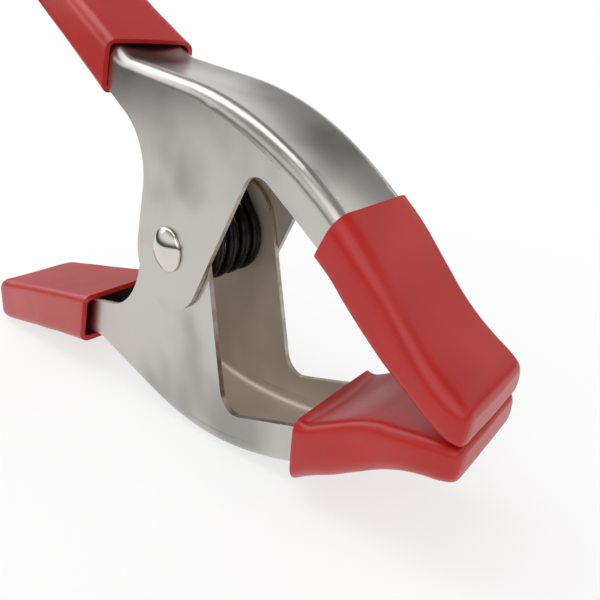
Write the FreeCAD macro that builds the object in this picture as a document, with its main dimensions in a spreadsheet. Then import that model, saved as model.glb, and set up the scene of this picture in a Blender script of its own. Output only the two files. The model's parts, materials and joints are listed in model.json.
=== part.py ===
import FreeCAD, Part
import math
import os
import sys

import Sketcher

# Spring clamp, 2 inch class.  The clamp frame has its origin on the rivet's axis: X runs towards
# the jaw tips, Y along the rivet and Z up.  The two halves mirror each other in the plane Z = 0.

V = FreeCAD.Vector

SIZES = {
    "steel_width": 24.8,
    "sheet_wall": 1.2,
    "ear_gap": 0.12,
    "bend_radius": 3.0,
    "web_dish": 0.9,
    "shoulder_height": 41.3,
    "handle_bend_x": -30.5,
    "handle_angle": 22.0,
    "handle_length": 67.0,
    "handle_bend_radius": 18.0,
    "handle_depth": 10.5,
    "jaw_start_x": -2.5,
    "jaw_angle": 33.0,
    "jaw_radius": 90.0,
    "beak_angle": 43.5,
    "beak_radius": 30.0,
    "jaw_run": 6.2,
    "nose_angle": 20.0,
    "nose_radius": 12.0,
    "nose_x": 75.4,
    "nose_height": 5.8,
    "nose_depth": 3.8,
    "jaw_depth": 7.8,
    "jaw_depth_x": 45.0,
    "jaw_edge_angle": 28.0,
    "chin_x": 62.0,
    "chin_depth": 5.6,
    "ear_radius": 13.1,
    "ear_drop": 1.5,
    "ear_round": 12.4,
    "ear_front_angle": 70.0,
    "ear_back_fillet": 18.0,
    "ear_front_fillet": 4.5,
    "rivet_radius": 2.6,
    "rivet_fit": 0.05,
    "rivet_head_radius": 5.4,
    "rivet_head_height": 2.6,
    "rivet_tail_radius": 4.6,
    "rivet_tail_height": 1.4,
    "cover_wall": 1.45,
    "cover_fit": 0.1,
    "cover_round": 2.2,
    "grip_mouth_x": -34.0,
    "tip_mouth_x": 44.8,
    "tip_mouth_angle": 77.0,
    "lower_mouth_x": 46.2,
    "lower_mouth_angle": 82.0,
    "tip_nose_wall": 1.8,
    "tip_gap": 0.2,
    "tip_land": 5.5,
    "wire_radius": 1.5,
    "coil_radius": 7.2,
    "coil_turns": 4.0,
    "coil_side_gap": 0.3,
    "coil_ease": 0.25,
    "leg_angle": 40.0,
    "leg_bend_radius": 5.0,
    "leg_reach": 23.0,
    "leg_gap": 0.15,
}

doc = FreeCAD.newDocument("spring_clamp")
sheet = doc.addObject("Spreadsheet::Sheet", "sizes")
for row, (alias, value) in enumerate(SIZES.items(), start=1):
    sheet.set("A%d" % row, alias)
    sheet.set("B%d" % row, str(value))
    sheet.setAlias("B%d" % row, alias)
doc.recompute()


def size(alias):
    """Value of one driving dimension."""
    return float(sheet.get(alias))


def unit(angle):
    """Direction at an angle in degrees above +X, as an (x, z) pair."""
    return (math.cos(math.radians(angle)), math.sin(math.radians(angle)))


def moved(point, direction, distance):
    """Point shifted along a direction."""
    return (point[0] + direction[0] * distance, point[1] + direction[1] * distance)


def crossing(point_a, direction_a, point_b, direction_b):
    """Point where two lines meet."""
    det = direction_a[0] * direction_b[1] - direction_a[1] * direction_b[0]
    dx = point_b[0] - point_a[0]
    dz = point_b[1] - point_a[1]
    along = (dx * direction_b[1] - dz * direction_b[0]) / det
    return moved(point_a, direction_a, along)


def heading(start, end):
    """Unit direction from one point to another."""
    length = math.hypot(end[0] - start[0], end[1] - start[1])
    return ((end[0] - start[0]) / length, (end[1] - start[1]) / length)


class Track:
    """Line of corners, each rounded by its own radius, in the XZ plane."""

    def __init__(self, corners, radii):
        self.corners = list(corners)
        self.radii = list(radii)

    def shifted(self, distance):
        """Same line moved to its left; arcs keep their centres."""
        count = len(self.corners)
        runs = [heading(self.corners[i], self.corners[i + 1]) for i in range(count - 1)]
        lefts = [(-run[1], run[0]) for run in runs]
        corners = [moved(self.corners[0], lefts[0], distance)]
        radii = [0.0]
        for i in range(1, count - 1):
            before = moved(self.corners[i], lefts[i - 1], distance)
            after = moved(self.corners[i], lefts[i], distance)
            corners.append(crossing(before, runs[i - 1], after, runs[i]))
            turn = runs[i - 1][0] * runs[i][1] - runs[i - 1][1] * runs[i][0]
            radii.append(self.radii[i] - math.copysign(distance, turn) if self.radii[i] else 0.0)
        corners.append(moved(self.corners[-1], lefts[-1], distance))
        radii.append(0.0)
        return Track(corners, radii)


def track_curves(track, closed):
    """Lines and arcs of a track, as sketch geometry."""
    count = len(track.corners)
    ends = []
    for i, corner in enumerate(track.corners):
        radius = track.radii[i]
        if radius == 0.0 or (not closed and i in (0, count - 1)):
            ends.append((corner, None, corner))
            continue
        before = heading(corner, track.corners[i - 1])
        after = heading(corner, track.corners[(i + 1) % count])
        half = math.acos(before[0] * after[0] + before[1] * after[1]) / 2
        reach = radius / math.tan(half)
        inward = heading((0, 0), (before[0] + after[0], before[1] + after[1]))
        middle = moved(corner, inward, radius / math.sin(half) - radius)
        ends.append((moved(corner, before, reach), middle, moved(corner, after, reach)))
    curves = []
    for i, (first, middle, last) in enumerate(ends):
        if middle:
            curves.append(Part.Arc(V(*first, 0), V(*middle, 0), V(*last, 0)))
        if i < count - 1 or closed:
            following = ends[(i + 1) % count][0]
            if math.hypot(following[0] - last[0], following[1] - last[1]) > 1e-6:
                curves.append(Part.LineSegment(V(*last, 0), V(*following, 0)))
    return curves


def origin_plane(body, role):
    """One of a body's own base planes."""
    return next(item for item in body.Origin.OriginFeatures if item.Role == role)


def add_sketch(body, name, curves, role="XZ_Plane", offset=None):
    """Sketch of curves on one of the body's base planes, joined end to end."""
    sketch = body.newObject("Sketcher::SketchObject", name)
    sketch.AttachmentSupport = [(origin_plane(body, role), "")]
    sketch.MapMode = "FlatFace"
    if offset is not None:
        sketch.AttachmentOffset = offset
    for curve in curves:
        sketch.addGeometry(curve, False)
    tips = []
    for i in range(len(curves)):
        tips.append((i, 1, sketch.getPoint(i, 1)))
        tips.append((i, 2, sketch.getPoint(i, 2)))
    for k, (i, end_i, point_i) in enumerate(tips):
        for j, end_j, point_j in tips[k + 1:]:
            if i != j and point_i.distanceToPoint(point_j) < 1e-6:
                sketch.addConstraint(Sketcher.Constraint("Coincident", i, end_i, j, end_j))
    return sketch


def bind_circle(sketch, expression, placed_at=(0.0, 0.0)):
    """Round hole in a sketch, its radius bound to the sheet."""
    circle = Part.Circle(V(placed_at[0], placed_at[1], 0), V(0, 0, 1), 1.0)
    index = sketch.addGeometry(circle, False)
    constraint = sketch.addConstraint(Sketcher.Constraint("Radius", index, 1.0))
    sketch.setExpression("Constraints[%d]" % constraint, expression)


def add_pad(body, name, sketch, length, both_sides=True, backwards=False):
    """Pad whose length is bound to the sheet."""
    pad = body.newObject("PartDesign::Pad", name)
    pad.Profile = sketch
    pad.SideType = "Symmetric" if both_sides else "One side"
    pad.Reversed = backwards
    pad.setExpression("Length", length)
    return pad


def add_pocket(body, name, sketch, length):
    """Pocket through the middle of a piece, its length bound to the sheet."""
    pocket = body.newObject("PartDesign::Pocket", name)
    pocket.Profile = sketch
    pocket.SideType = "Symmetric"
    pocket.setExpression("Length", length)
    return pocket


def add_fillet(body, name, base, wanted, radius):
    """Fillet of the edges of a feature that pass a test, its radius bound to the sheet."""
    doc.recompute()
    names = ["Edge%d" % (i + 1) for i, edge in enumerate(base.Shape.Edges) if wanted(edge)]
    fillet = body.newObject("PartDesign::Fillet", name)
    fillet.Base = (base, names)
    fillet.setExpression("Radius", radius)
    return fillet


# The line of the web's outer face, from the handle's end to the jaw's nose
down_handle = unit(-size("handle_angle"))
handle_bend = (size("handle_bend_x"), size("shoulder_height"))
handle_end = moved(handle_bend, down_handle, -size("handle_length"))
jaw_rise = size("jaw_radius") * math.tan(math.radians(size("jaw_angle")) / 2)
jaw_corner = (size("jaw_start_x") + jaw_rise, size("shoulder_height"))
beak_turn = math.radians(size("beak_angle") - size("jaw_angle"))
beak_rise = size("beak_radius") * math.tan(beak_turn / 2)
beak_corner = moved(jaw_corner, unit(-size("jaw_angle")), jaw_rise + size("jaw_run") + beak_rise)
nose_end = (size("nose_x"), size("nose_height"))
nose_corner = crossing(beak_corner, unit(-size("beak_angle")), nose_end, unit(-size("nose_angle")))
web_line = Track(
    [handle_end, handle_bend, jaw_corner, beak_corner, nose_corner, nose_end],
    [0.0, size("handle_bend_radius"), size("jaw_radius"), size("beak_radius"),
     size("nose_radius"), 0.0],
)


def web_height(track, x):
    """Height of a track's corner line over a place on the X axis."""
    for start, end in zip(track.corners, track.corners[1:]):
        if start[0] <= x <= end[0]:
            return start[1] + (end[1] - start[1]) * (x - start[0]) / (end[0] - start[0])
    return track.corners[-1][1]


# The flange's free edge along the handle, and along the jaw
handle_edge = Track([handle_end, handle_bend, jaw_corner],
                    [0.0, size("handle_bend_radius"), 0.0]).shifted(-size("handle_depth"))
edge_front = unit(size("ear_front_angle"))
ear_touch = moved((0.0, 0.0), (edge_front[1], -edge_front[0]), size("ear_radius"))
jaw_edge_a = (size("jaw_depth_x"), web_height(web_line, size("jaw_depth_x")) - size("jaw_depth")
              / math.cos(math.radians(size("jaw_angle"))))
chin = (size("chin_x"), web_height(web_line, size("chin_x")) - size("chin_depth")
        / math.cos(math.radians(size("beak_angle"))))
nose_edge = (size("nose_x"), size("nose_height") - size("nose_depth"))
back_corner = crossing(handle_edge.corners[0], down_handle, (-size("ear_radius"), 0.0), (0.0, 1.0))
front_corner = crossing(ear_touch, edge_front, jaw_edge_a, unit(-size("jaw_edge_angle")))
jaw_edge = Track([front_corner, jaw_edge_a, chin, nose_edge],
                 [size("ear_front_fillet"), size("beak_radius"), size("nose_radius") * 2, 0.0])


def flange_curves():
    """Side outline of one flange with its ear, below the bend."""
    top = web_line.shifted(-size("bend_radius") - 0.1)
    ear_end = -size("ear_radius") - size("ear_drop")
    ear_low = crossing(ear_touch, edge_front, (0.0, ear_end), (1.0, 0.0))
    ear_back = (-size("ear_radius"), ear_end)
    corners = top.corners + jaw_edge.corners[::-1]
    radii = top.radii + jaw_edge.radii[::-1]
    corners += [ear_low, ear_back, back_corner, handle_edge.corners[0]]
    radii += [size("ear_round"), size("ear_round"), size("ear_back_fillet"), 0.0]
    return track_curves(Track(corners, radii), True)


def channel_curves(width):
    """Section of the bent web: dished face, two bends and the start of each flange."""
    bend = size("bend_radius")
    wall = size("sheet_wall")
    dish = size("web_dish")
    stub = bend + 0.3
    half = width / 2
    arm = half - bend
    dish_radius = (arm ** 2 + dish ** 2) / (2 * dish) - bend
    lean = math.atan2(arm, dish_radius - dish + bend)

    def outline(inset):
        """Points of the outer or inner face, from the middle of the web to the right stub."""
        turn = bend - inset
        low = (0.0, -dish - inset)
        touch = (arm - turn * math.sin(lean), -bend + turn * math.cos(lean))
        dip = dish_radius + inset
        centre = dish_radius - dish
        middle = (dip * math.sin(lean / 2), centre - dip * math.cos(lean / 2))
        swing = (math.pi / 2 + lean) / 2 - lean
        knee = (arm + turn * math.sin(swing), -bend + turn * math.cos(swing))
        return low, middle, touch, knee, (half - inset, -bend), (half - inset, -stub)

    curves = []
    ends = []
    for inset in (0.0, wall):
        low, middle, touch, knee, side, foot = outline(inset)
        ends.append(foot)
        for hand in (1, -1):
            def at(point):
                return V(hand * point[0], point[1], 0)
            curves.append(Part.Arc(at(low), at(middle), at(touch)))
            curves.append(Part.Arc(at(touch), at(knee), at(side)))
            curves.append(Part.LineSegment(at(side), at(foot)))
    for hand in (1, -1):
        curves.append(Part.LineSegment(V(hand * ends[0][0], ends[0][1], 0),
                                       V(hand * ends[1][0], ends[1][1], 0)))
    return curves


def make_jaw(name, width, hole):
    """One pressed half: a channel bent along the web line, with two flanges and their ears."""
    body = doc.addObject("PartDesign::Body", name)
    spine = add_sketch(body, name + "_web_line", track_curves(web_line, False))
    lean = FreeCAD.Rotation(V(1, 0, 0), size("handle_angle"))
    at_end = FreeCAD.Placement(V(0, handle_end[1], handle_end[0]), lean)
    section = add_sketch(body, name + "_section", channel_curves(width[1]), "YZ_Plane", at_end)
    doc.recompute()
    channel = body.newObject("PartDesign::AdditivePipe", name + "_channel")
    channel.Profile = section
    channel.Spine = (spine, [])
    channel.Transition = "Round corner"
    doc.recompute()
    for side, hand in (("near", 1), ("far", -1)):
        place = FreeCAD.Placement(V(0, 0, hand * width[1] / 2), FreeCAD.Rotation())
        flange = add_sketch(body, name + "_" + side + "_outline", flange_curves(), offset=place)
        flange.setExpression("AttachmentOffset.Base.z", "%d * (%s) / 2" % (hand, width[0]))
        bind_circle(flange, hole)
        add_pad(body, name + "_" + side + "_flange", flange, "sizes.sheet_wall", False, hand > 0)
    doc.recompute()
    return body


inner_inset = "2 * (sizes.sheet_wall + sizes.ear_gap)"
outer_width = ("sizes.steel_width", size("steel_width"))
inner_width = ("sizes.steel_width - " + inner_inset,
               size("steel_width") - 2 * (size("sheet_wall") + size("ear_gap")))
upper_jaw = make_jaw("upper_jaw", outer_width, "sizes.rivet_radius + 0.02")
lower_jaw = make_jaw("lower_jaw", inner_width, "sizes.rivet_radius + sizes.rivet_fit")


# Soft covers: one grip and one tip moulding, each used on both halves
COVER_WIDTH = "sizes.steel_width + 2 * sizes.cover_fit + 2 * sizes.cover_wall"
CAVITY_WIDTH = "sizes.steel_width + 2 * sizes.cover_fit"
cover_skin = size("cover_fit") + size("cover_wall")
cover_half = size("steel_width") / 2 + cover_skin


def side_edge(edge, mouth_point, mouth_normal):
    """Whether an edge lies on a cover's side face and away from its mouth."""
    for vertex in edge.Vertexes:
        if abs(abs(vertex.Y) - cover_half) > 1e-4:
            return False
    away = [(vertex.X - mouth_point[0]) * mouth_normal[0] + (vertex.Z - mouth_point[1]) * mouth_normal[1]
            for vertex in edge.Vertexes]
    return max(away) > 1e-4


def cross_edge(edge, x_range):
    """Whether an edge runs straight across a cover within a range of X."""
    ends = [vertex.Point for vertex in edge.Vertexes]
    if len(ends) != 2 or abs(ends[0].y + ends[1].y) > 1e-4 or abs(ends[0].y) < 1e-4:
        return False
    return x_range[0] <= ends[0].x <= x_range[1]


def grip_outline(skin, past_mouth):
    """Side outline of the grip, or of its cavity, round the handle."""
    top = moved(moved(handle_end, down_handle, -skin), (down_handle[1], -down_handle[0]), -skin)
    low = moved(top, (down_handle[1], -down_handle[0]), size("handle_depth") + 2 * skin)
    mouth_x = size("grip_mouth_x") + past_mouth
    mouth_top = crossing(top, down_handle, (mouth_x, 0.0), (0.0, 1.0))
    mouth_low = crossing(low, down_handle, (mouth_x, 0.0), (0.0, 1.0))
    return Track([top, mouth_top, mouth_low, low], [0.0] * 4)


def make_grip(name):
    """Handle grip: a sleeve with a closed end."""
    body = doc.addObject("PartDesign::Body", name)
    outline = add_sketch(body, name + "_outline", track_curves(grip_outline(cover_skin, 0.0), True))
    block = add_pad(body, name + "_block", outline, COVER_WIDTH)
    mouth = (size("grip_mouth_x"), 0.0)
    doc.recompute()
    back_x = grip_outline(cover_skin, 0.0).corners[0][0] + size("handle_depth")
    rounds = add_fillet(body, name + "_rounds", block,
                        lambda edge: side_edge(edge, mouth, (-1.0, 0.0))
                        or cross_edge(edge, (-1000.0, back_x)), "sizes.cover_round")
    doc.recompute()
    cavity = add_sketch(body, name + "_cavity",
                        track_curves(grip_outline(size("cover_fit"), cover_skin), True))
    add_pocket(body, name + "_hollow", cavity, CAVITY_WIDTH)
    doc.recompute()
    return body


def tip_outline(skin, nose_x, nose_low, land):
    """Side outline of the tip cover, or of its cavity, round the jaw; land is its flat nose."""
    web = web_line.shifted(skin)
    edge = jaw_edge.shifted(-skin)
    back_x = size("jaw_start_x")
    edge_run = heading(edge.corners[1], edge.corners[0])
    nose_top = crossing(web.corners[4], heading(web.corners[4], web.corners[5]), (nose_x, 0.0), (0.0, 1.0))
    corners = [(back_x, web.corners[2][1]), web.corners[2], web.corners[3], web.corners[4], nose_top]
    radii = [0.0, web.radii[2], web.radii[3], web.radii[4], 0.0]
    corners += [(nose_x, nose_low)]
    radii += [0.0]
    if land:
        corners += [(nose_x - land, nose_low)]
        radii += [land]
    corners += [edge.corners[2], edge.corners[1]]
    radii += [edge.radii[2], edge.radii[1]]
    corners += [crossing(edge.corners[1], edge_run, (back_x, 0.0), (0.0, 1.0))]
    radii += [0.0]
    return Track(corners, radii)


def make_tip(name, mouth_x, mouth_angle):
    """Jaw tip: a cap that follows the jaw, with a thick pad at its nose."""
    body = doc.addObject("PartDesign::Body", name)
    front = size("nose_x") + size("cover_fit") + size("tip_nose_wall")
    pad_low = size("tip_gap") / 2
    skin = tip_outline(cover_skin, front, pad_low, size("tip_land"))
    outline = add_sketch(body, name + "_outline", track_curves(skin, True))
    add_pad(body, name + "_block", outline, COVER_WIDTH)
    mouth = (mouth_x, web_height(web_line, mouth_x))
    along = unit(mouth_angle)
    normal = (along[1], -along[0])
    top = moved(mouth, along, 2 * size("jaw_depth"))
    low = moved(mouth, along, -4 * size("jaw_depth"))
    back = -2 * mouth_x
    away = Track([top, low, moved(low, normal, back), moved(top, normal, back)], [0.0] * 4)
    trim = add_sketch(body, name + "_mouth", track_curves(away, True))
    cut = add_pocket(body, name + "_trim", trim, "2 * (" + COVER_WIDTH + ")")
    doc.recompute()
    rounds = add_fillet(body, name + "_rounds", cut,
                        lambda edge: side_edge(edge, mouth, normal)
                        or cross_edge(edge, (front - 0.01, front + 0.01)), "sizes.cover_round")
    doc.recompute()
    fit = size("cover_fit")
    nose_low = size("nose_height") - size("nose_depth") - fit
    hollow = tip_outline(fit, size("nose_x") + fit, nose_low, 0.0)
    cavity = add_sketch(body, name + "_cavity", track_curves(hollow, True))
    add_pocket(body, name + "_hollow", cavity, CAVITY_WIDTH)
    doc.recompute()
    return body


def make_rivet():
    """Pivot rivet: domed head on the near side, shank through all four ears, formed tail."""
    body = doc.addObject("PartDesign::Body", "pivot_rivet")
    seat = size("steel_width") / 2 + 0.02
    rim = 0.5
    shank = size("rivet_radius")
    curves = []
    for hand, radius, height in ((-1, size("rivet_head_radius"), size("rivet_head_height")),
                                 (1, size("rivet_tail_radius"), size("rivet_tail_height"))):
        dome = ((radius ** 2 + (height - rim) ** 2) / (2 * (height - rim)))
        swing = math.asin(radius / dome) / 2
        crown = V(dome * math.sin(swing), hand * (seat + height - dome + dome * math.cos(swing)), 0)
        curves.append(Part.LineSegment(V(shank, hand * seat, 0), V(radius, hand * seat, 0)))
        curves.append(Part.LineSegment(V(radius, hand * seat, 0), V(radius, hand * (seat + rim), 0)))
        curves.append(Part.Arc(V(radius, hand * (seat + rim), 0), crown, V(0, hand * (seat + height), 0)))
    curves.append(Part.LineSegment(V(shank, -seat, 0), V(shank, seat, 0)))
    curves.append(Part.LineSegment(V(0, -seat - size("rivet_head_height"), 0),
                                   V(0, seat + size("rivet_tail_height"), 0)))
    profile = add_sketch(body, "pivot_rivet_profile", curves, "XY_Plane")
    doc.recompute()
    turned = body.newObject("PartDesign::Revolution", "pivot_rivet_turned")
    turned.Profile = profile
    turned.ReferenceAxis = (profile, ["V_Axis"])
    turned.Angle = 360.0
    doc.recompute()
    return body


def arc_between(start, tangent, end):
    """Arc that leaves a point along a tangent and ends at another point."""
    chord = end - start
    across = tangent - chord * (tangent.dot(chord) / chord.dot(chord))
    across.normalize()
    turn = tangent.getAngle(chord)
    return Part.Arc(start, (start + end) / 2 + across * (chord.Length / 2 * math.tan(turn / 2)), end)


def biarc(start, start_tangent, end, end_tangent):
    """Two arcs that join two points with given tangents."""
    span = end - start
    both = start_tangent + end_tangent
    spread = 2 * (1 - start_tangent.dot(end_tangent))
    reach = (-span.dot(both) + math.sqrt(span.dot(both) ** 2 + spread * span.dot(span))) / spread
    joint = (start + end + (start_tangent - end_tangent) * reach) / 2
    first = arc_between(start, start_tangent, joint)
    last = arc_between(end, end_tangent * -1, joint)
    return [first, last]


def coil_point(turned, total, half_width, rise):
    """Point and tangent of the coil's centre line after a number of turns."""
    ease = size("coil_ease")
    left = total - turned
    if turned < ease:
        y = -half_width + rise * turned ** 2 / (2 * ease)
        slope = rise * turned / ease
    elif left < ease:
        y = half_width - rise * left ** 2 / (2 * ease)
        slope = rise * left / ease
    else:
        y = -half_width + rise * (turned - ease / 2)
        slope = rise
    angle = 2 * math.pi * turned - math.radians(90 - size("leg_angle"))
    radius = size("coil_radius")
    point = V(radius * math.cos(angle), y, radius * math.sin(angle))
    tangent = V(-radius * math.sin(angle) * 2 * math.pi, slope, radius * math.cos(angle) * 2 * math.pi)
    return point, tangent.normalize()


def make_spring():
    """Torsion spring: a coil round the rivet, with a leg bent to stand on each web."""
    wire = size("wire_radius")
    ear_inside = size("steel_width") / 2 - 2 * size("sheet_wall") - size("ear_gap")
    half_width = ear_inside - size("coil_side_gap") - wire
    total = size("coil_turns") + (180 - 2 * size("leg_angle")) / 360
    rise = 2 * half_width / (total - size("coil_ease"))
    steps = [size("coil_ease")]
    count = round((total - 2 * size("coil_ease")) * 4)
    for i in range(1, count + 1):
        steps.append(size("coil_ease") + (total - 2 * size("coil_ease")) * i / count)
    steps.append(total)
    low_foot = -size("shoulder_height") + size("sheet_wall") + size("web_dish") + size("leg_gap")
    start = coil_point(0.0, total, half_width, rise)
    end = coil_point(total, total, half_width, rise)
    line = []
    foot = V(-size("leg_reach"), -half_width, low_foot)
    run = (size("leg_reach") + start[0].x) / start[1].x
    knee = start[0] - start[1] * run
    bend = size("leg_bend_radius") * math.tan(math.radians(90 - size("leg_angle")) / 2)
    knee_in = knee + V(0, 0, -bend)
    knee_out = knee + start[1] * bend
    leg = [Part.LineSegment(foot, knee_in), arc_between(knee_in, V(0, 0, 1), knee_out),
           Part.LineSegment(knee_out, start[0])]
    line += leg
    before = start
    for turned in steps:
        after = coil_point(turned, total, half_width, rise)
        line += biarc(before[0], before[1], after[0], after[1])
        before = after
    run = (size("leg_reach") + end[0].x) / -end[1].x
    knee = end[0] + end[1] * run
    knee_in = knee - end[1] * bend
    knee_out = knee + V(0, 0, bend)
    foot = V(-size("leg_reach"), half_width, -low_foot)
    line += [Part.LineSegment(end[0], knee_in), arc_between(knee_in, end[1], knee_out),
             Part.LineSegment(knee_out, foot)]
    path = Part.Wire([curve.toShape() for curve in line])
    section = Part.Wire([Part.Circle(V(-size("leg_reach"), -half_width, low_foot), V(0, 0, 1), wire).toShape()])
    tube = path.makePipeShell([section], True, False)
    spring = doc.addObject("Part::Feature", "torsion_spring")
    spring.Shape = tube
    per_turn = 24
    marks = [coil_point(total * i / (per_turn * total), total, half_width, rise)[0]
             for i in range(int(per_turn * total) + 1)]
    gaps = [marks[i].distanceToPoint(marks[j]) - 2 * wire for i in range(len(marks))
            for j in range(i + per_turn // 2, len(marks))]
    print("least gap between turns %.2f mm over %.2f turns" % (min(gaps), total))
    return spring


upper_grip = make_grip("upper_handle_grip")
lower_grip = make_grip("lower_handle_grip")
upper_tip = make_tip("upper_jaw_tip", size("tip_mouth_x"), size("tip_mouth_angle"))
lower_tip = make_tip("lower_jaw_tip", size("lower_mouth_x"), size("lower_mouth_angle"))
rivet = make_rivet()
spring = make_spring()

# The clamp stands on its lower half: on the grip's end and the steel shoulder
grip_heel = grip_outline(cover_skin, 0.0).corners[0]
shoulder = (size("jaw_start_x"), size("shoulder_height") - size("jaw_radius"))
span = math.hypot(shoulder[0] - grip_heel[0], shoulder[1] - grip_heel[1])
pitch = math.atan2(grip_heel[1] - shoulder[1], shoulder[0] - grip_heel[0])
pitch -= math.asin(size("jaw_radius") / span)
stand = FreeCAD.Rotation(V(0, 1, 0), math.degrees(pitch))
turn_over = FreeCAD.Rotation(V(1, 0, 0), 180)
UPPER = [upper_jaw, upper_grip, upper_tip, rivet]
LOWER = [lower_jaw, lower_grip, lower_tip]
for piece in UPPER + [spring]:
    piece.Placement = FreeCAD.Placement(V(), stand)
for piece in LOWER:
    piece.Placement = FreeCAD.Placement(V(), stand.multiply(turn_over))
doc.recompute()
reach = FreeCAD.BoundBox()
for piece in UPPER + LOWER + [spring]:
    reach.add(piece.Shape.optimalBoundingBox(False))
to_floor = V(-(reach.XMin + reach.XMax) / 2, -(reach.YMin + reach.YMax) / 2, -reach.ZMin)
for piece in UPPER + LOWER + [spring]:
    piece.Placement = FreeCAD.Placement(to_floor, piece.Placement.Rotation)
doc.recompute()
print("pivot at %.3f %.3f %.3f mm, pitch %.3f degrees" % (to_floor.x, to_floor.y, to_floor.z, math.degrees(pitch)))

faults = [item.Name for item in doc.Objects if "Invalid" in item.State or "Error" in item.State]
for piece in UPPER + LOWER + [spring]:
    shape = piece.Shape
    if shape.isNull() or not shape.isValid() or len(shape.Solids) != 1:
        faults.append(piece.Label)
    print("%-18s %8.1f mm3 %3d faces" % (piece.Label, shape.Volume, len(shape.Faces)))
if faults:
    print("faults: " + ", ".join(faults))
    sys.exit(1)
os.makedirs("parts", exist_ok=True)
for piece in UPPER + LOWER + [spring]:
    piece.Shape.exportStep("parts/" + piece.Label + ".step")
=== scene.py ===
import json
import logging
import math
from abc import ABC, abstractmethod
from dataclasses import dataclass
from enum import Enum, IntEnum
from typing import ClassVar

import bpy
from mathutils import Matrix, Vector


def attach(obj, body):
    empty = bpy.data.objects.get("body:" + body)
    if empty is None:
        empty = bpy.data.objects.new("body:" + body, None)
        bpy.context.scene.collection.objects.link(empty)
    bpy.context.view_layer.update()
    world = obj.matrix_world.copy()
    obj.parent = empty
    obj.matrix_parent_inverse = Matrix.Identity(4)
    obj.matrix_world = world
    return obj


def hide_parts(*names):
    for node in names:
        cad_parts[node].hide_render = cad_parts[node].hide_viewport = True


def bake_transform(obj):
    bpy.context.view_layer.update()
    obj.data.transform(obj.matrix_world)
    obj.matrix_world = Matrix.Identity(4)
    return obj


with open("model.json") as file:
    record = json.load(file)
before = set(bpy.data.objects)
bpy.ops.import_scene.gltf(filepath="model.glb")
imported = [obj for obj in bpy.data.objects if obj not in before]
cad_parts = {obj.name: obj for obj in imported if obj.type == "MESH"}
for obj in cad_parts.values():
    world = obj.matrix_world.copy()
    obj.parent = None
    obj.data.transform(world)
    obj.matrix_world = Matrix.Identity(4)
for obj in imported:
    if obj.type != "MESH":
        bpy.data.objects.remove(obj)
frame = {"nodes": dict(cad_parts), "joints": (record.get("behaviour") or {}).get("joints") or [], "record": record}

# Spring clamp.  Pieces are modelled in millimetres in the clamp's own frame: the origin is on the
# rivet's axis, X runs to the jaw tips, Y along the rivet and Z from the middle to the upper half.

LOG = logging.getLogger("spring_clamp")
Point = tuple[float, float]
Place = tuple[float, float, float]
MM = 0.001
# Edges that turn by more degrees than this are rounded by a bevel
SHARP_ANGLE = 60.0


class Half(Enum):
    """The clamp's two halves; the lower one is the upper one turned over about X."""

    UPPER = "upper"
    LOWER = "lower"

    @property
    def body(self) -> str:
        """Name of the CAD body that this half's pieces ride on."""
        return self.value + "_half"


class Stand:
    """How the clamp stands in the row frame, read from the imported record."""

    def __init__(self, record: dict, joint: dict) -> None:
        """Read the rivet's place and the clamp's pitch.

        Args:
            record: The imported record.
            joint: The record's hinge between the two halves.
        """
        lands = next(item for item in record["mounts"] if item["name"] == "jaw_lands")
        pitch = math.atan2(lands["axis"][0], lands["axis"][2])
        self.frame = Matrix.Translation(joint["pos_m"]) @ Matrix.Rotation(pitch, 4, "Y")

    def matrix(self, half: Half) -> Matrix:
        """Matrix that takes a half's millimetres to its place in the row frame."""
        over = Matrix.Rotation(math.pi, 4, "X") if half is Half.LOWER else Matrix.Identity(4)
        return self.frame @ over @ Matrix.Scale(MM, 4)


# Finishes

# The sRGB curve: a straight start below the knee, and a power curve above it
SRGB_KNEE = 0.04045
SRGB_SLOPE = 12.92
SRGB_OFFSET = 0.055
SRGB_POWER = 2.4
# Sockets of a Mix node, which has the same names once for each type of value
FACTOR, NUMBER_A, NUMBER_B = 0, 2, 3
COLOUR_A, COLOUR_B, COLOUR_RESULT = 6, 7, 2
# Octaves of every noise pattern
NOISE_DETAIL = 2.0


def linear(hex_colour: str) -> tuple[float, float, float, float]:
    """Turn an sRGB colour to a linear one.

    Args:
        hex_colour: The colour, such as "#BA1C13".

    Returns:
        The linear colour with full alpha.
    """
    channels = [int(hex_colour[i:i + 2], 16) / 255 for i in (1, 3, 5)]
    values = [
        c / SRGB_SLOPE if c <= SRGB_KNEE else ((c + SRGB_OFFSET) / (1 + SRGB_OFFSET)) ** SRGB_POWER
        for c in channels
    ]
    return values[0], values[1], values[2], 1.0


def add_node(
    tree: bpy.types.NodeTree, kind: str, settings: dict | None = None, links: dict | None = None
) -> bpy.types.Node:
    """Add one node with its settings and its links.

    Args:
        tree: Node tree to add to.
        kind: Type of node, without its "ShaderNode" start.
        settings: Values by attribute name, or by input name or number where there is no such
            attribute.
        links: Output sockets by the name or number of the input that each one feeds.

    Returns:
        The new node.
    """
    made = tree.nodes.new("ShaderNode" + kind)
    for key, value in (settings or {}).items():
        if isinstance(key, str) and hasattr(made, key):
            setattr(made, key, value)
        else:
            made.inputs[key].default_value = value
    for key, socket in (links or {}).items():
        tree.links.new(socket, made.inputs[key])
    return made


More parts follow.
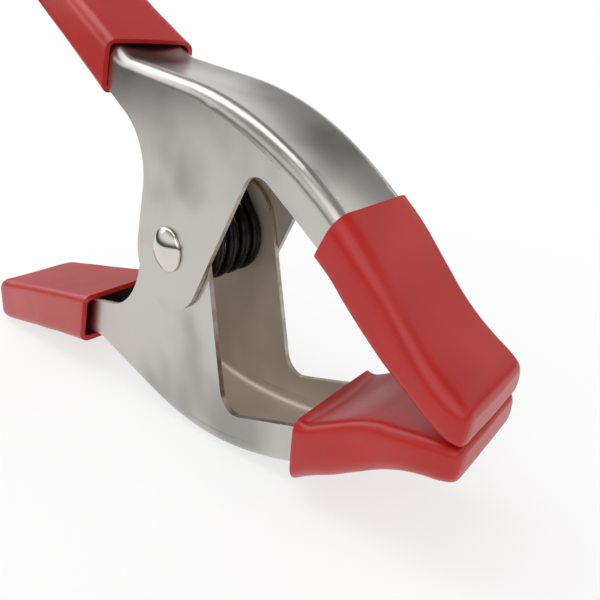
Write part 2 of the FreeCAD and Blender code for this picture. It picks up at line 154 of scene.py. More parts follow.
@dataclass(frozen=True)
class Finish:
    """A surface finish: base values, patches of a darker shade, and the grain of its surface. On the nickel plate
    the patches are painted dark reflection; on the other finishes they are the surface's own uneven tone.

    Patches of patch_mm take the colour towards the shade where their noise lies in shade_span.
    The grain is a bump of grain_mm and grain_depth_mm.
    """

    name: str
    colour: str
    shade: str
    metallic: float
    roughness: float
    patch_mm: float
    grain_mm: float
    grain_depth_mm: float
    shade_span: Point = (0.1, 0.9)

    def build(self) -> bpy.types.Material:
        """Build the material.

        Returns:
            The finished material.
        """
        material = bpy.data.materials.new(self.name)
        material.use_nodes = True
        tree = material.node_tree
        shader = tree.nodes["Principled BSDF"]
        shader.inputs["Metallic"].default_value = self.metallic
        shader.inputs["Roughness"].default_value = self.roughness
        place = add_node(tree, "TexCoord").outputs["Object"]
        # Patches of darker colour: uneven tone on most finishes, painted dark reflection on the nickel plate
        patches = add_node(
            tree, "TexNoise", {"Scale": 1 / (self.patch_mm * MM), "Detail": NOISE_DETAIL},
            {"Vector": place},
        )
        share = add_node(
            tree, "MapRange",
            {"interpolation_type": "SMOOTHSTEP", "From Min": self.shade_span[0],
             "From Max": self.shade_span[1]},
            {"Value": patches.outputs["Fac"]},
        )
        tint = add_node(
            tree, "Mix",
            {"data_type": "RGBA", COLOUR_A: linear(self.colour), COLOUR_B: linear(self.shade)},
            {FACTOR: share.outputs[0]},
        )
        tree.links.new(tint.outputs[COLOUR_RESULT], shader.inputs["Base Color"])
        grain = add_node(
            tree, "TexNoise", {"Scale": 1 / (self.grain_mm * MM), "Detail": NOISE_DETAIL},
            {"Vector": place},
        )
        bump = add_node(
            tree, "Bump", {"Strength": 1.0, "Distance": self.grain_depth_mm * MM},
            {"Height": grain.outputs["Fac"]},
        )
        tree.links.new(bump.outputs[0], shader.inputs["Normal"])
        return material


# The real grain of the sheet, the vinyl and the wire is some 0.05 to 0.1 mm.  That is too fine to
# show in the render, so each is drawn as coarse as it needs to show.

# Bright nickel plate over pressed sheet: a mirror softened by the sheet's grain, with slow grey clouds of painted
# dark reflection in its colour
NICKEL_PLATE_WITH_PAINTED_REFLECTION = Finish(
    name="nickel_plated_sheet_steel_painted_reflection", colour="#C3BFBA", shade="#9A9893", metallic=1.0,
    roughness=0.27, patch_mm=26.0, grain_mm=0.5, grain_depth_mm=0.006,
    shade_span=(0.45, 0.75),
)
# The inside of the pressing: dull, so it gives no clear reflection, and painted light: a lighter, beige, less
# metallic copy of the plate that stands in for light filling the channel
INNER_PLATE_PAINTED_LIGHT = Finish(
    name="dull_nickel_inside_painted_light", colour="#E2D8CA", shade="#C3B8A8", metallic=0.48,
    roughness=0.48, patch_mm=18.0, grain_mm=0.5, grain_depth_mm=0.006,
)
# The sheared edge of the sheet, plated over but torn, so duller and browner
SHEARED_EDGE = Finish(
    name="sheared_sheet_edge", colour="#C9C0B6", shade="#8F7F73", metallic=1.0,
    roughness=0.39, patch_mm=3.0, grain_mm=0.4, grain_depth_mm=0.02,
)
# Dipped soft vinyl: smooth and a little waxy, so its highlights are broad and soft
RED_VINYL = Finish(
    name="dipped_red_vinyl", colour="#B8160D", shade="#AC130C", metallic=0.0,
    roughness=0.34, patch_mm=10.0, grain_mm=0.8, grain_depth_mm=0.006,
)
# Turned and plated rivet, polished by its forming die: the brightest mirror on the clamp
RIVET_STEEL = Finish(
    name="polished_rivet_steel", colour="#DAD6D0", shade="#CFCAC4", metallic=1.0,
    roughness=0.13, patch_mm=6.0, grain_mm=0.5, grain_depth_mm=0.003,
)
# Oiled black spring wire: nearly black, with a narrow wet highlight
BLACK_WIRE = Finish(
    name="oiled_black_spring_wire", colour="#171616", shade="#0D0D0D", metallic=0.6,
    roughness=0.27, patch_mm=3.0, grain_mm=0.3, grain_depth_mm=0.008,
)


# Modelling helpers

# Points of a new skin that lie closer than this are one point, in millimetres
SKIN_MERGE = 0.001


def deselect() -> None:
    """Leave edit mode and deselect every object."""
    if bpy.context.object is not None and bpy.context.object.mode != "OBJECT":
        bpy.ops.object.mode_set(mode="OBJECT")
    bpy.ops.object.select_all(action="DESELECT")


def take(piece: bpy.types.Object) -> None:
    """Make one object the only selected and active one.

    Args:
        piece: The object.
    """
    deselect()
    bpy.context.view_layer.objects.active = piece
    piece.select_set(True)


def apply_modifier(piece: bpy.types.Object, kind: str, **settings: object) -> None:
    """Add a modifier with its settings and apply it.

    Args:
        piece: The object to change.
        kind: Type of modifier.
        settings: The modifier's values by name.
    """
    take(piece)
    modifier = piece.modifiers.new(kind.lower(), kind)
    for key, value in settings.items():
        setattr(modifier, key, value)
    bpy.ops.object.modifier_apply(modifier=modifier.name)


def smooth(piece: bpy.types.Object, angle: float) -> None:
    """Shade a piece smooth up to an angle in degrees."""
    take(piece)
    bpy.ops.object.shade_smooth_by_angle(angle=math.radians(angle))


def lay_rings(name: str, rings: list[list[Vector]]) -> bpy.types.Object:
    """Skin through closed rings of points, from a grid rolled into a tube.

    Args:
        name: Name of the new object.
        rings: Rings of the same number of points each; the last one may be a single place.

    Returns:
        The open tube, with its last ring closed where its points meet.
    """
    deselect()
    count = len(rings[0])
    bpy.ops.mesh.primitive_grid_add(x_subdivisions=count, y_subdivisions=len(rings) - 1, size=1.0)
    piece = bpy.context.object
    piece.name = name
    for row, ring in enumerate(rings):
        for column in range(count + 1):
            piece.data.vertices[row * (count + 1) + column].co = ring[column % count]
    bpy.ops.object.mode_set(mode="EDIT")
    bpy.ops.mesh.select_all(action="SELECT")
    bpy.ops.mesh.remove_doubles(threshold=SKIN_MERGE)
    bpy.ops.mesh.normals_make_consistent(inside=False)
    bpy.ops.object.mode_set(mode="OBJECT")
    return piece


def curve_through(values: list[float], t: float) -> float:
    """Read a smooth line that passes through evenly spaced values.

    Args:
        values: The values.
        t: Where to read it, from 0 at the first value to their number less one at the last.

    Returns:
        The line's value there.
    """
    last = len(values) - 1
    i = min(int(t), last - 1)
    u = t - i
    p0, p1 = values[max(i - 1, 0)], values[i]
    p2, p3 = values[i + 1], values[min(i + 2, last)]
    slope_a, slope_b = (p2 - p0) / 2, (p3 - p1) / 2
    return (
        (2 * u ** 3 - 3 * u ** 2 + 1) * p1 + (u ** 3 - 2 * u ** 2 + u) * slope_a
        + (3 * u ** 2 - 2 * u ** 3) * p2 + (u ** 3 - u ** 2) * slope_b
    )


# Soft covers

# Steps along a section: over each round, over half of the top or low face, and down each side
CORNER_STEPS = 6
FACE_STEPS = 5
SIDE_STEPS = 6
# Most of the half width, and of the height, that one round may take
ROUND_OF_WIDTH = 0.98
ROUND_OF_HEIGHT = 0.49


@dataclass
class Station:
    """One section across a soft cover.

    Its top and low places are in X and Z. A crown is how far that face stands out in its middle,
    or in where it is negative.
    """

    top: Point
    low: Point
    half_width: float
    top_round: float
    low_round: float
    top_crown: float = 0.0
    low_crown: float = 0.0
    side_crown: float = 0.0

    @staticmethod
    def corner(y: float, z: float, radius: float, start: float) -> list[Point]:
        """Draw a quarter round.

        Args:
            y: Its centre across the cover.
            z: Its centre's height in the section.
            radius: Its radius.
            start: Angle of its first point in degrees, 90 at the top and 0 at the side.

        Returns:
            Its points, each across and up, from the first one downwards.
        """
        made = []
        for k in range(CORNER_STEPS + 1):
            angle = math.radians(start - 90 * k / CORNER_STEPS)
            made.append((y + radius * math.cos(angle), z + radius * math.sin(angle)))
        return made

    def outline(self, height: float) -> list[Point]:
        """Draw the section flat, before its crowns.

        Args:
            height: Distance from its low place to its top one.

        Returns:
            A closed ring of points, each across and up, from the middle of the top.
        """
        width = self.half_width
        top_round = min(self.top_round, width * ROUND_OF_WIDTH, height * ROUND_OF_HEIGHT)
        low_round = min(self.low_round, width * ROUND_OF_WIDTH, height * ROUND_OF_HEIGHT)
        side_top = height - top_round
        flat = [((width - top_round) * k / FACE_STEPS, height) for k in range(FACE_STEPS)]
        flat += self.corner(width - top_round, side_top, top_round, 90)
        for k in range(1, SIDE_STEPS):
            flat.append((width, side_top + (low_round - side_top) * (k / SIDE_STEPS)))
        flat += self.corner(width - low_round, low_round, low_round, 0)
        for k in range(1, FACE_STEPS + 1):
            flat.append(((width - low_round) * (1 - k / FACE_STEPS), 0.0))
        return flat + [(-y, z) for y, z in reversed(flat[1:-1])]

    def ring(self) -> list[Vector]:
        """Draw the section in its place.

        Returns:
            Points in the clamp's frame, the same number for every station.
        """
        up = Vector((self.top[0] - self.low[0], self.top[1] - self.low[1]))
        height = up.length
        up.normalize()
        points = []
        for y, z in self.outline(height):
            inward = 1 - min(abs(y) / self.half_width, 1.0) ** 2
            rise = z / height
            z += self.top_crown * inward * rise ** 3 - self.low_crown * inward * (1 - rise) ** 3
            side = math.copysign(4 * rise * (1 - rise), y) * self.side_crown * (1 - inward)
            points.append(Vector((self.low[0] + up[0] * z, y + side, self.low[1] + up[1] * z)))
        return points


def station_at(stations: list[Station], t: float) -> Station:
    """Find the section between stations.

    Args:
        stations: The stations in order.
        t: Where, from 0 at the first station to their number less one at the last.

    Returns:
        The section there.
    """
    sizes = ("half_width", "top_round", "low_round", "top_crown", "low_crown", "side_crown")
    values = {key: curve_through([getattr(s, key) for s in stations], t) for key in sizes}
    top = tuple(curve_through([s.top[i] for s in stations], t) for i in (0, 1))
    low = tuple(curve_through([s.low[i] for s in stations], t) for i in (0, 1))
    return Station(top=top, low=low, **values)


@dataclass
class Cover(ABC):
    """A soft vinyl cover: a dipped shell, open at its mouth and closed at its end.

    The wave is how far the dip leaves the wall from true, over wave_size.
    """

    half: Half
    wall: float = 1.4
    lip_round: float = 0.45
    lip_steps: int = 3
    wave: float = 0.35
    wave_size: float = 14.0
    rings_per_gap: int = 4
    end_shares: tuple[float, ...] = (0.75, 0.45, 0.15, 0.0)
    smooth_angle: float = 50.0

    kind: ClassVar[str] = ""

    @property
    def name(self) -> str:
        """Name of the CAD node that this cover stands for."""
        return self.half.value + self.kind

    @abstractmethod
    def stations(self) -> list[Station]:
        """Sections of the cover from its mouth to its closed end."""

    def skin(self) -> bpy.types.Object:
        """Lay the cover's outer face through its stations, and close its end.

        Returns:
            The skin, one face thick and open at the mouth.
        """
        stations = self.stations()
        rings = []
        for k in range((len(stations) - 1) * self.rings_per_gap + 1):
            rings.append(station_at(stations, k / self.rings_per_gap).ring())
        rim = rings[-1]
        middle = sum(rim, Vector()) / len(rim)
        for share in self.end_shares:
            rings.append([middle + (point - middle) * share for point in rim])
        return lay_rings(self.name + "_vinyl", rings)

    def build(self, stand: Stand, finish: bpy.types.Material) -> bpy.types.Object:
        """Model the shell, place it and dress it.

        Args:
            stand: Where the clamp stands.
            finish: Material of the vinyl.

        Returns:
            The finished cover.
        """
        piece = self.skin()
        apply_modifier(piece, "SOLIDIFY", thickness=self.wall, offset=-1.0)
        apply_modifier(
            piece, "BEVEL", width=self.lip_round, segments=self.lip_steps, limit_method="ANGLE",
            angle_limit=math.radians(SHARP_ANGLE),
        )
        waves = bpy.data.textures.new(self.name + "_waves", "CLOUDS")
        waves.noise_scale = self.wave_size
        waves.noise_depth = 1
        apply_modifier(piece, "DISPLACE", texture=waves, strength=self.wave, mid_level=0.5)
        piece.data.transform(stand.matrix(self.half))
        smooth(piece, self.smooth_angle)
        piece.data.materials.append(finish)
        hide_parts(self.name)
        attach(piece, self.half.body)
        LOG.info("%s: %d faces", piece.name, len(piece.data.polygons))
        return piece


@dataclass
class JawTip(Cover):
    """The cap on a jaw, with a dent in its inner face and a nose that draws in."""

    top_mouth: Point = (47.4, 27.6)
    low_mouth: Point = (43.6, 17.4)

    kind: ClassVar[str] = "_jaw_tip"

    def stations(self) -> list[Station]:
        """Sections of the tip from its mouth to its nose.

        Returns:
            The stations: top, low, half width, top and low rounds, top, low and side crowns.
        """
        return [
            Station(self.top_mouth, self.low_mouth, 12.7, 4.2, 2.0, -0.3, 0.0, 0.0),
            Station((51.4, 24.9), (48.0, 14.6), 12.5, 4.2, 2.2, -0.3, -0.5, 0.1),
            Station((55.4, 21.7), (52.0, 11.5), 12.3, 4.2, 2.2, -0.2, -0.7, 0.0),
            Station((59.8, 17.7), (56.3, 8.4), 12.1, 4.0, 2.2, -0.1, -0.3, -0.3),
            Station((64.0, 13.9), (60.9, 5.5), 11.9, 3.8, 2.2, 0.0, 0.0, -0.3),
            Station((68.0, 10.8), (65.6, 3.5), 11.8, 3.2, 2.0, 0.1, 0.0, 0.0),
            Station((71.6, 8.8), (70.0, 1.6), 11.8, 3.0, 1.8, 0.1, 0.0, 0.2),
            Station((74.6, 7.5), (73.6, 0.4), 11.7, 2.8, 1.6, 0.0, 0.0, 0.2),
            Station((76.6, 6.4), (76.2, 0.2), 11.2, 2.5, 1.5, -0.3, 0.0, 0.0),
            Station((77.2, 5.2), (77.1, 1.0), 10.3, 1.9, 1.4, -0.4, 0.0, 0.0),
        ]


@dataclass
class HandleGrip(Cover):
    """The sleeve on a handle, which runs straight back from its mouth to a slanted end.

    end_draw is how far the last section draws in at its top and low faces, and end_share the
    share of that for the one before it.
    """

    lean: float = 22.0
    top_mouth: Point = (-34.8, 44.8)
    low_mouth: Point = (-35.0, 30.2)
    end_draw: float = 1.4
    end_share: float = 0.35

    kind: ClassVar[str] = "_handle_grip"

    def stations(self) -> list[Station]:
        """Sections of the grip from its mouth to its closed end.

        Returns:
            The stations.
        """
        lean = math.radians(self.lean)
        back = (-math.cos(lean), math.sin(lean))
        up = (math.sin(lean), math.cos(lean))
        # Run along the top, run along the low face, half width, top and low rounds, top crown
        rows = (
            (0.0, 0.0, 13.9, 3.0, 2.2, 0.35),
            (10.0, 13.0, 13.7, 3.0, 2.2, 0.1),
            (30.0, 34.0, 13.6, 3.0, 2.2, 0.0),
            (50.0, 55.0, 13.7, 3.0, 2.4, 0.0),
            (58.6, 64.1, 13.8, 3.2, 2.6, 0.0),
            (61.5, 67.2, 13.2, 3.2, 2.8, 0.0),
            (62.6, 68.3, 12.0, 3.2, 2.8, 0.0),
        )
        made = []
        for top_run, low_run, width, top_round, low_round, crown in rows:
            top = (self.top_mouth[0] + back[0] * top_run, self.top_mouth[1] + back[1] * top_run)
            low = (self.low_mouth[0] + back[0] * low_run, self.low_mouth[1] + back[1] * low_run)
            made.append(Station(top, low, width, top_round, low_round, crown))
        draws = (self.end_draw, self.end_draw * self.end_share)
        for station, draw in zip((made[-1], made[-2]), draws):
            station.top = (station.top[0] - up[0] * draw, station.top[1] - up[1] * draw)
            station.low = (station.low[0] + up[0] * draw, station.low[1] + up[1] * draw)
        return made


# Steel pieces


class Sheet(IntEnum):
    """The three kinds of face on a pressed half, in the order of its material slots."""

    OUTER = 0
    RIM = 1
    INNER = 2


@dataclass
class PressedHalf:
    """One pressed steel half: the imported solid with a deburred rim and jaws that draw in.

    The jaws draw in from taper_from, by taper_per_mm of their width, which starts softly over
    taper_ease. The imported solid's long facets are cut every cut_step so that they can follow.
    """

    half: Half
    wall: float = 1.2
    merge: float = 0.002
    flat_angle: float = 0.6
    cut_from: int = 12
    cut_to: int = 76
    cut_step: int = 8
    rim_round: float = 0.18
    rim_steps: int = 2
    taper_from: float = 15.0
    taper_per_mm: float = 0.0033
    taper_ease: float = 20.0
    smooth_angle: float = 35.0
    normal_weight: int = 100

    @property
    def node(self) -> str:
        """Name of the CAD node that this piece stands for."""
        return self.half.value + "_jaw"

    def copy_node(self, node: bpy.types.Object, stand: Stand) -> bpy.types.Object:
        """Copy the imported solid, in millimetres.

        Args:
            node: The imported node.
            stand: Where the clamp stands.

        Returns:
            A plain object with its own mesh and no material.
        """
        deselect()
        piece = node.copy()
        piece.data = piece.data.copy()
        piece.name = self.node + "_steel"
        piece.parent = None
        for key in list(piece.keys()):
            del piece[key]
        bpy.context.scene.collection.objects.link(piece)
        piece.data.materials.clear()
        piece.data.transform(stand.matrix(self.half).inverted())
        return piece

    def join_faces(self, piece: bpy.types.Object) -> None:
        """Join the solid's loose triangles to faces, cut across where the jaw tapers.

        Args:
            piece: The copied solid.
        """
        take(piece)
        bpy.ops.object.mode_set(mode="EDIT")
        bpy.ops.mesh.select_all(action="SELECT")
        bpy.ops.mesh.remove_doubles(threshold=self.merge)
        bpy.ops.mesh.dissolve_limited(angle_limit=math.radians(self.flat_angle))
        for cut in range(self.cut_from, self.cut_to, self.cut_step):
            bpy.ops.mesh.select_all(action="SELECT")
            bpy.ops.mesh.bisect(plane_co=(cut, 0.0, 0.0), plane_no=(1.0, 0.0, 0.0))
        bpy.ops.object.mode_set(mode="OBJECT")

    def sort_face(self, normal: Vector, centre: Vector, half_width: float) -> Sheet:
        """Tell which kind of face a face is.

        Args:
            normal: The face's normal.
            centre: Its centre.
            half_width: Half of the half's width over its flanges.

        Returns:
            The kind of face.
        """
        # The rim lies within a flange's thickness and doesn't face sideways.  The inside faces the
        # middle or down, and never up, as the outside of the web does.
        sideways, to_middle, down, up, slack = 0.35, -0.1, -0.3, 0.3, 1.05
        if abs(normal.y) < sideways and abs(centre.y) > half_width - self.wall * slack:
            return Sheet.RIM
        if normal.z < up and (normal.y * centre.y < to_middle or normal.z < down):
            return Sheet.INNER
        return Sheet.OUTER

    def draw_in(self, piece: bpy.types.Object) -> None:
        """Narrow the jaw towards its nose.

        Args:
            piece: The half in millimetres.
        """
        for vertex in piece.data.vertices:
            run = max(vertex.co.x - self.taper_from, 0.0)
            ease = min(run / self.taper_ease, 1.0)
            vertex.co.y *= 1 - run * ease * self.taper_per_mm

    def build(
        self, stand: Stand, nodes: dict, finishes: dict[Sheet, bpy.types.Material]
    ) -> bpy.types.Object:
        """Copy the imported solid, join its faces, round its rim and dress it.

        Args:
            stand: Where the clamp stands.
            nodes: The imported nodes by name.
            finishes: Material of each kind of face.

        Returns:
            The finished half.
        """
        piece = self.copy_node(nodes[self.node], stand)
        self.join_faces(piece)
        half_width = max(abs(vertex.co.y) for vertex in piece.data.vertices)
        apply_modifier(
            piece, "BEVEL", width=self.rim_round, segments=self.rim_steps, limit_method="ANGLE",
            angle_limit=math.radians(SHARP_ANGLE),
        )
        for kind in Sheet:
            piece.data.materials.append(finishes[kind])
        for face in piece.data.polygons:
            face.material_index = self.sort_face(face.normal, face.center, half_width)
        self.draw_in(piece)
        piece.data.transform(stand.matrix(self.half))
        smooth(piece, self.smooth_angle)
        apply_modifier(piece, "WEIGHTED_NORMAL", weight=self.normal_weight, keep_sharp=True)
        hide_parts(self.node)
        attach(piece, self.half.body)
        LOG.info("%s: %d faces", piece.name, len(piece.data.polygons))
        return piece


@dataclass
class Rivet:
    """The pivot rivet: a domed head with a thin rim, a shank and a formed tail.

    The seat is where a head bears on the outer ear. The small fields are the breaks between the
    dome, the rim and the seat, so that no edge is sharp.
    """

    head_radius: float = 5.35
    head_height: float = 2.55
    tail_radius: float = 4.6
    tail_height: float = 1.4
    rim: float = 0.6
    shank: float = 2.6
    seat: float = 12.42
    dome_in: float = 0.12
    dome_up: float = 0.08
    rim_down: float = 0.1
    seat_up: float = 0.12
    seat_in: float = 0.15
    dome_steps: int = 12
    spin_steps: int = 64
    smooth_angle: float = 40.0

    def side(self, radius: float, height: float, hand: int) -> list[Point]:
        """Profile of a head, from its crown to the shank, as radius and Y.

        Args:
            radius: Radius of the head.
            height: Height of its crown over the ear.
            hand: -1 for the near side, 1 for the far one.

        Returns:
            Points of the profile.
        """
        dome = height - self.rim
        ball = (radius ** 2 + dome ** 2) / (2 * dome)
        swing = math.asin(radius / ball)
        line = []
        for k in range(self.dome_steps + 1):
            angle = swing * k / self.dome_steps
            y = self.seat + height - ball + ball * math.cos(angle)
            line.append((ball * math.sin(angle), y))
        line[-1] = (radius - self.dome_in, self.seat + self.rim + self.dome_up)
        line.append((radius, self.seat + self.rim - self.rim_down))
        line.append((radius, self.seat + self.seat_up))
        line.append((radius - self.seat_in, self.seat))
        line.append((self.shank, self.seat))
        return [(r, hand * y) for r, y in line]

    def build(self, stand: Stand, finish: bpy.types.Material) -> bpy.types.Object:
        """Turn the profile round the pivot and dress it.

        Args:
            stand: Where the clamp stands.
            finish: Material of the rivet.

        Returns:
            The finished rivet.
        """
        profile = self.side(self.head_radius, self.head_height, -1)
        profile += self.side(self.tail_radius, self.tail_height, 1)[::-1]
        rings = []
        for radius, y in profile:
            ring = []
            for k in range(self.spin_steps):
                angle = -2 * math.pi * k / self.spin_steps
                ring.append(Vector((radius * math.cos(angle), y, radius * math.sin(angle))))
            rings.append(ring)
        piece = lay_rings("pivot_rivet_steel", rings)
        piece.data.transform(stand.matrix(Half.UPPER))
        smooth(piece, self.smooth_angle)
        piece.data.materials.append(finish)
        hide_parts("pivot_rivet")
        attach(piece, Half.UPPER.body)
        LOG.info("%s: %d faces", piece.name, len(piece.data.polygons))
        return piece


@dataclass
class TorsionSpring:
    """Coil round the rivet, with a leg bent to stand on each web.

    The wire is given by its radius. The half width is that of the coil's centre line, whose first
    and last turns ease into the legs over a share of a turn. A leg leaves the coil at leg_angle,
    bends at leg_reach behind the rivet and ends at foot, off the middle.
    """

    wire: float = 1.5
    wire_sides: int = 5
    coil_radius: float = 8.6
    turns: float = 4.0
    steps_per_turn: int = 40
    half_width: float = 8.08
    ease: float = 0.25
    leg_angle: float = 40.0
    leg_bend: float = 5.0
    leg_reach: float = 23.0
    foot: float = 39.05
    run_steps: int = 6
    bend_steps: int = 8
    foot_steps: int = 5
    smooth_angle: float = 50.0

    def coil_point(self, turned: float, total: float) -> Vector:
        """Find a point of the coil's centre line.

        Args:
            turned: Turns from the coil's start to the point.
            total: Turns of the whole coil.

        Returns:
            The point.
        """
        rise = 2 * self.half_width / (total - self.ease)
        left = total - turned
        if turned < self.ease:
            y = -self.half_width + rise * turned ** 2 / (2 * self.ease)
        elif left < self.ease:
            y = self.half_width - rise * left ** 2 / (2 * self.ease)
        else:
            y = -self.half_width + rise * (turned - self.ease / 2)
        angle = 2 * math.pi * turned - math.radians(90 - self.leg_angle)
        return Vector((self.coil_radius * math.cos(angle), y, self.coil_radius * math.sin(angle)))

    def leg(self, start: Vector, before: Vector, hand: int) -> list[Vector]:
        """Draw a leg from the coil's end to its foot.

        Args:
            start: The coil's end.
            before: The coil's point next to it.
            hand: -1 for the leg that stands on the lower web, 1 for the upper one.

        Returns:
            Points in order from the coil outwards.
        """
        along = (start - before).normalized()
        along.y = 0.0
        along.normalize()
        run = (self.leg_reach + start.x) / -along.x
        knee = start + along * run
        bend = self.leg_bend * math.tan(math.radians(90 - self.leg_angle) / 2)
        down = Vector((0.0, 0.0, float(hand)))
        first, last = knee - along * bend, knee + down * bend
        foot = Vector((knee.x, knee.y, hand * self.foot))
        points = [start.lerp(first, k / self.run_steps) for k in range(1, self.run_steps + 1)]
        for k in range(1, self.bend_steps + 1):
            t = k / self.bend_steps
            points.append(first * (1 - t) ** 2 + knee * 2 * t * (1 - t) + last * t ** 2)
        points += [last.lerp(foot, k / self.foot_steps) for k in range(1, self.foot_steps + 1)]
        return points

    def centre_line(self) -> list[Vector]:
        """Draw the wire's centre line.

        Returns:
            Its points from the lower leg's foot to the upper leg's.
        """
        total = self.turns + (180 - 2 * self.leg_angle) / 360
        count = round(total * self.steps_per_turn)
        coil = [self.coil_point(total * k / count, total) for k in range(count + 1)]
        return self.leg(coil[0], coil[1], -1)[::-1] + coil + self.leg(coil[-1], coil[-2], 1)

    def build(self, stand: Stand, finish: bpy.types.Material) -> bpy.types.Object:
        """Draw the wire and make it a mesh.

        Args:
            stand: Where the clamp stands.
            finish: Material of the wire.

        Returns:
            The finished spring.
        """
        line = self.centre_line()
        data = bpy.data.curves.new("torsion_spring_wire", "CURVE")
        data.dimensions = "3D"
        data.bevel_depth = self.wire
        data.bevel_resolution = self.wire_sides
        data.use_fill_caps = True
        spline = data.splines.new("POLY")
        spline.points.add(len(line) - 1)
        for knot, point in zip(spline.points, line):
            knot.co = (*point, 1.0)
        deselect()
        piece = bpy.data.objects.new("torsion_spring_wire", data)
        bpy.context.scene.collection.objects.link(piece)
        take(piece)
        bpy.ops.object.convert(target="MESH")
        piece = bpy.context.object
        piece.data.transform(stand.matrix(Half.UPPER))
        smooth(piece, self.smooth_angle)
        piece.data.materials.clear()
        piece.data.materials.append(finish)
        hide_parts("torsion_spring")
        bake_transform(piece)
        LOG.info("%s: %d faces", piece.name, len(piece.data.polygons))
        return piece


# Studio


def grey(value: float) -> tuple[float, float, float, float]:
    """Opaque grey of a linear value."""
    return value, value, value, 1.0


@dataclass(frozen=True)
class Lamp:
    """A soft square lamp: its place and the length of its side in metres, its power in watts."""

    name: str
    at: Place
    side: float
    power: float

    def add(self, aim: Place) -> None:
        """Add the lamp to the scene.

        Args:
            aim: The point that it faces.
        """
        data = bpy.data.lights.new(self.name, "AREA")
        data.shape = "SQUARE"
        data.size = self.side
        data.energy = self.power
        light = bpy.data.objects.new(self.name, data)
        light.location = self.at
        light.rotation_euler = (Vector(aim) - Vector(self.at)).to_track_quat("-Z", "Y").to_euler()
        bpy.context.scene.collection.objects.link(light)


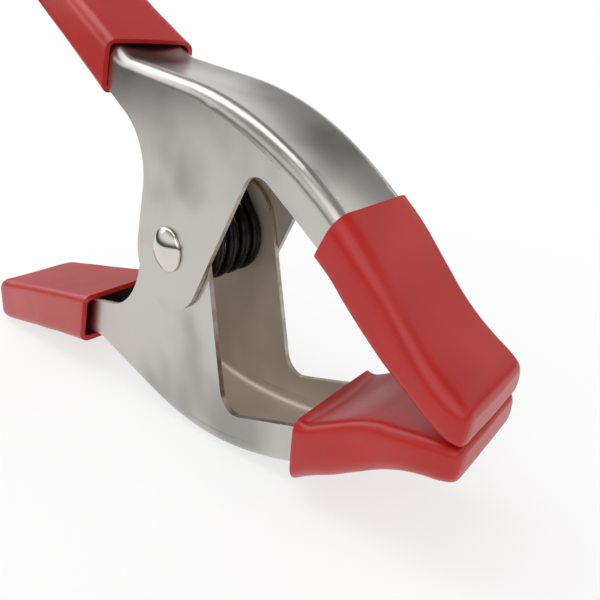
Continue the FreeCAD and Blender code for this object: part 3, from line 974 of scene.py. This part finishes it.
@dataclass(frozen=True)
class Studio:
    """White table, soft lamps, and the camera that the photograph's perspective gives.

    The camera's place is in millimetres in the clamp's own frame, as are its three directions, and
    its optical centre is in pixels of the frame. A level is the room's brightness at a height in
    the surround, from 0 at the bottom to 1 overhead. The table's own sizes are in metres.
    """

    camera_at: Place = (101.475, -86.713, 65.752)
    right: Place = (0.741411, 0.653573, 0.152161)
    down: Place = (0.227462, -0.031439, -0.973279)
    forward: Place = (-0.631325, 0.756210, -0.171972)
    focal_px: float = 550.14
    centre_px: Point = (321.2, 88.1)
    frame_px: float = 600.0
    sensor_mm: float = 36.0
    clip_start: float = 0.01
    levels: tuple[Point, ...] = (
        (0.0, 0.06), (0.11, 0.08), (0.20, 0.65), (0.32, 1.0), (0.46, 1.0), (0.62, 0.42),
        (0.80, 0.28), (1.0, 0.35),
    )
    lamps: tuple[Lamp, ...] = (
        Lamp("strip_lamp_0", (-0.80, -0.20, 0.61), 0.55, 2.0),
        Lamp("strip_lamp_1", (-0.42, -0.15, 0.95), 0.55, 2.0),
        Lamp("strip_lamp_2", (0.10, 0.0, 1.05), 0.55, 2.0),
        Lamp("fill_lamp", (0.62, -0.60, 0.62), 0.8, 2.1),
    )
    lamp_aim: Place = (0.0, 0.0, 0.05)
    table_radius: float = 3.0
    table_sides: int = 96
    table_drop: float = 0.0002
    fade_from: float = 0.05
    fade_to: float = 0.22
    fade_start: float = 0.7

    def camera(self, stand: Stand) -> None:
        """Set the camera where the photograph was taken from.

        Args:
            stand: Where the clamp stands.
        """
        data = bpy.data.cameras.new("camera")
        data.sensor_width = self.sensor_mm
        data.lens = self.focal_px / self.frame_px * self.sensor_mm
        data.shift_x = (self.frame_px / 2 - self.centre_px[0]) / self.frame_px
        data.shift_y = (self.centre_px[1] - self.frame_px / 2) / self.frame_px
        data.clip_start = self.clip_start
        camera = bpy.data.objects.new("camera", data)
        columns = [Vector(self.right), -Vector(self.down), -Vector(self.forward)]
        turn = Matrix(columns).transposed().to_4x4()
        camera.matrix_world = stand.frame @ Matrix.Translation(Vector(self.camera_at) * MM) @ turn
        bpy.context.scene.collection.objects.link(camera)
        bpy.context.scene.camera = camera

    def room(self) -> None:
        """White surround to the camera, whose light on the clamp differs with its height."""
        world = bpy.data.worlds.new("white_room")
        bpy.context.scene.world = world
        world.use_nodes = True
        tree = world.node_tree
        tree.nodes.clear()
        place = add_node(tree, "TexCoord").outputs["Generated"]
        height = add_node(tree, "SeparateXYZ", {}, {"Vector": place}).outputs["Z"]
        level = add_node(tree, "ValToRGB", {}, {0: height})
        steps = level.color_ramp.elements
        steps[0].position, steps[0].color = self.levels[0][0], grey(self.levels[0][1])
        steps[1].position, steps[1].color = self.levels[-1][0], grey(self.levels[-1][1])
        for at, value in self.levels[1:-1]:
            steps.new(at).color = grey(value)
        seen = add_node(tree, "LightPath").outputs["Is Camera Ray"]
        strength = add_node(
            tree, "Mix", {"data_type": "FLOAT", NUMBER_B: 1.0},
            {FACTOR: seen, NUMBER_A: level.outputs[0]},
        )
        white = add_node(
            tree, "Background", {"Color": linear("#FFFFFF")}, {"Strength": strength.outputs[0]}
        )
        add_node(tree, "OutputWorld", {}, {"Surface": white.outputs[0]})

    def paper(self) -> bpy.types.Material:
        """Build the table's white paper, which is lost in the white room further out.

        Returns:
            The finished material.
        """
        material = bpy.data.materials.new("white_table_paper")
        material.use_nodes = True
        tree = material.node_tree
        tree.nodes.clear()
        place = add_node(tree, "TexCoord").outputs["Object"]
        far = add_node(tree, "VectorMath", {"operation": "LENGTH"}, {0: place})
        fade = add_node(
            tree, "MapRange",
            {"interpolation_type": "SMOOTHSTEP", "From Min": self.fade_from,
             "From Max": self.fade_to, "To Min": self.fade_start},
            {"Value": far.outputs["Value"]},
        )
        path = add_node(tree, "LightPath").outputs
        seen = add_node(
            tree, "Math", {"operation": "MAXIMUM"},
            {0: path["Is Camera Ray"], 1: path["Is Glossy Ray"]},
        )
        share = add_node(
            tree, "Math", {"operation": "MULTIPLY"}, {0: fade.outputs[0], 1: seen.outputs[0]}
        )
        paper = add_node(tree, "BsdfDiffuse", {"Color": linear("#FCFCFC")})
        glow = add_node(tree, "Emission", {"Color": linear("#FFFFFF"), "Strength": 1.0})
        mixed = add_node(
            tree, "MixShader", {}, {0: share.outputs[0], 1: paper.outputs[0], 2: glow.outputs[0]}
        )
        add_node(tree, "OutputMaterial", {}, {"Surface": mixed.outputs[0]})
        return material

    def table(self) -> None:
        """Lay the table just under the clamp."""
        deselect()
        bpy.ops.mesh.primitive_circle_add(
            vertices=self.table_sides, radius=self.table_radius, fill_type="NGON",
            location=(0.0, 0.0, -self.table_drop),
        )
        table = bpy.context.object
        table.name = "table"
        table.data.materials.append(self.paper())

    def build(self, stand: Stand) -> None:
        """Set the camera, the room, the table and the lamps.

        Args:
            stand: Where the clamp stands.
        """
        self.camera(stand)
        self.room()
        self.table()
        for lamp in self.lamps:
            lamp.add(self.lamp_aim)
        bpy.context.scene.view_settings.view_transform = "Standard"


def main() -> None:
    """Build the clamp's pieces and the studio."""
    logging.basicConfig(level=logging.INFO, format="%(name)s: %(message)s")
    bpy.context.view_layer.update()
    stand = Stand(frame["record"], frame["joints"][0])
    steel = {
        # The outer plate carries slow clouds of painted dark reflection
        Sheet.OUTER: NICKEL_PLATE_WITH_PAINTED_REFLECTION.build(),
        Sheet.RIM: SHEARED_EDGE.build(),
        # The inner faces take a lighter copy of the plate as painted light
        Sheet.INNER: INNER_PLATE_PAINTED_LIGHT.build(),
    }
    vinyl, rivet, wire = RED_VINYL.build(), RIVET_STEEL.build(), BLACK_WIRE.build()
    for half in Half:
        PressedHalf(half).build(stand, frame["nodes"], steel)
    # The upper tip's mouth is cut at a slant, and the lower one's squarer
    tips = {
        Half.UPPER: JawTip(Half.UPPER),
        Half.LOWER: JawTip(Half.LOWER, top_mouth=(46.9, 28.9), low_mouth=(45.6, 15.4)),
    }
    for half in Half:
        HandleGrip(half).build(stand, vinyl)
        tips[half].build(stand, vinyl)
    Rivet().build(stand, rivet)
    TorsionSpring().build(stand, wire)
    Studio().build(stand)


if __name__ == "__main__":
    main()
